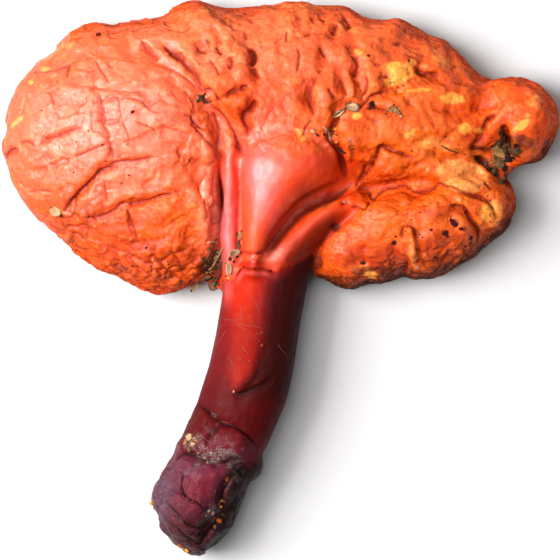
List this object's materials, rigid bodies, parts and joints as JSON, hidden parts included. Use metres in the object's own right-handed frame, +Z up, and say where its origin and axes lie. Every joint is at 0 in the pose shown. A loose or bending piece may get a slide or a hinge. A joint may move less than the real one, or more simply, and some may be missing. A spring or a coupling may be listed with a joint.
{
  "type": "reishi mushroom",
  "caption": "Whole picked reishi mushroom: a kidney-shaped, lobed and wrinkled woody cap with a stout bent stem, lying on its flat pore side.",
  "frame": {"origin": "middle of the footprint's bounding box, on the flat pore side", "axes": "+Z up through the crust, away from the pores; -Y along the stem to its foot; +X to the right seen from above with the foot nearest"},
  "size_m": [0.1678, 0.167, 0.034],
  "materials": {
    "cap": "orange-red lacquered crust, satin to glossy, wrinkled and cracked, with yellow patches; pale tan pore side",
    "stem": "dark red to purple-brown lacquered crust, glossy, dull and soiled at the foot"
  },
  "bodies": {
    "root": {"cap": "cap", "stem": "stem"}
  },
  "joints": []
}
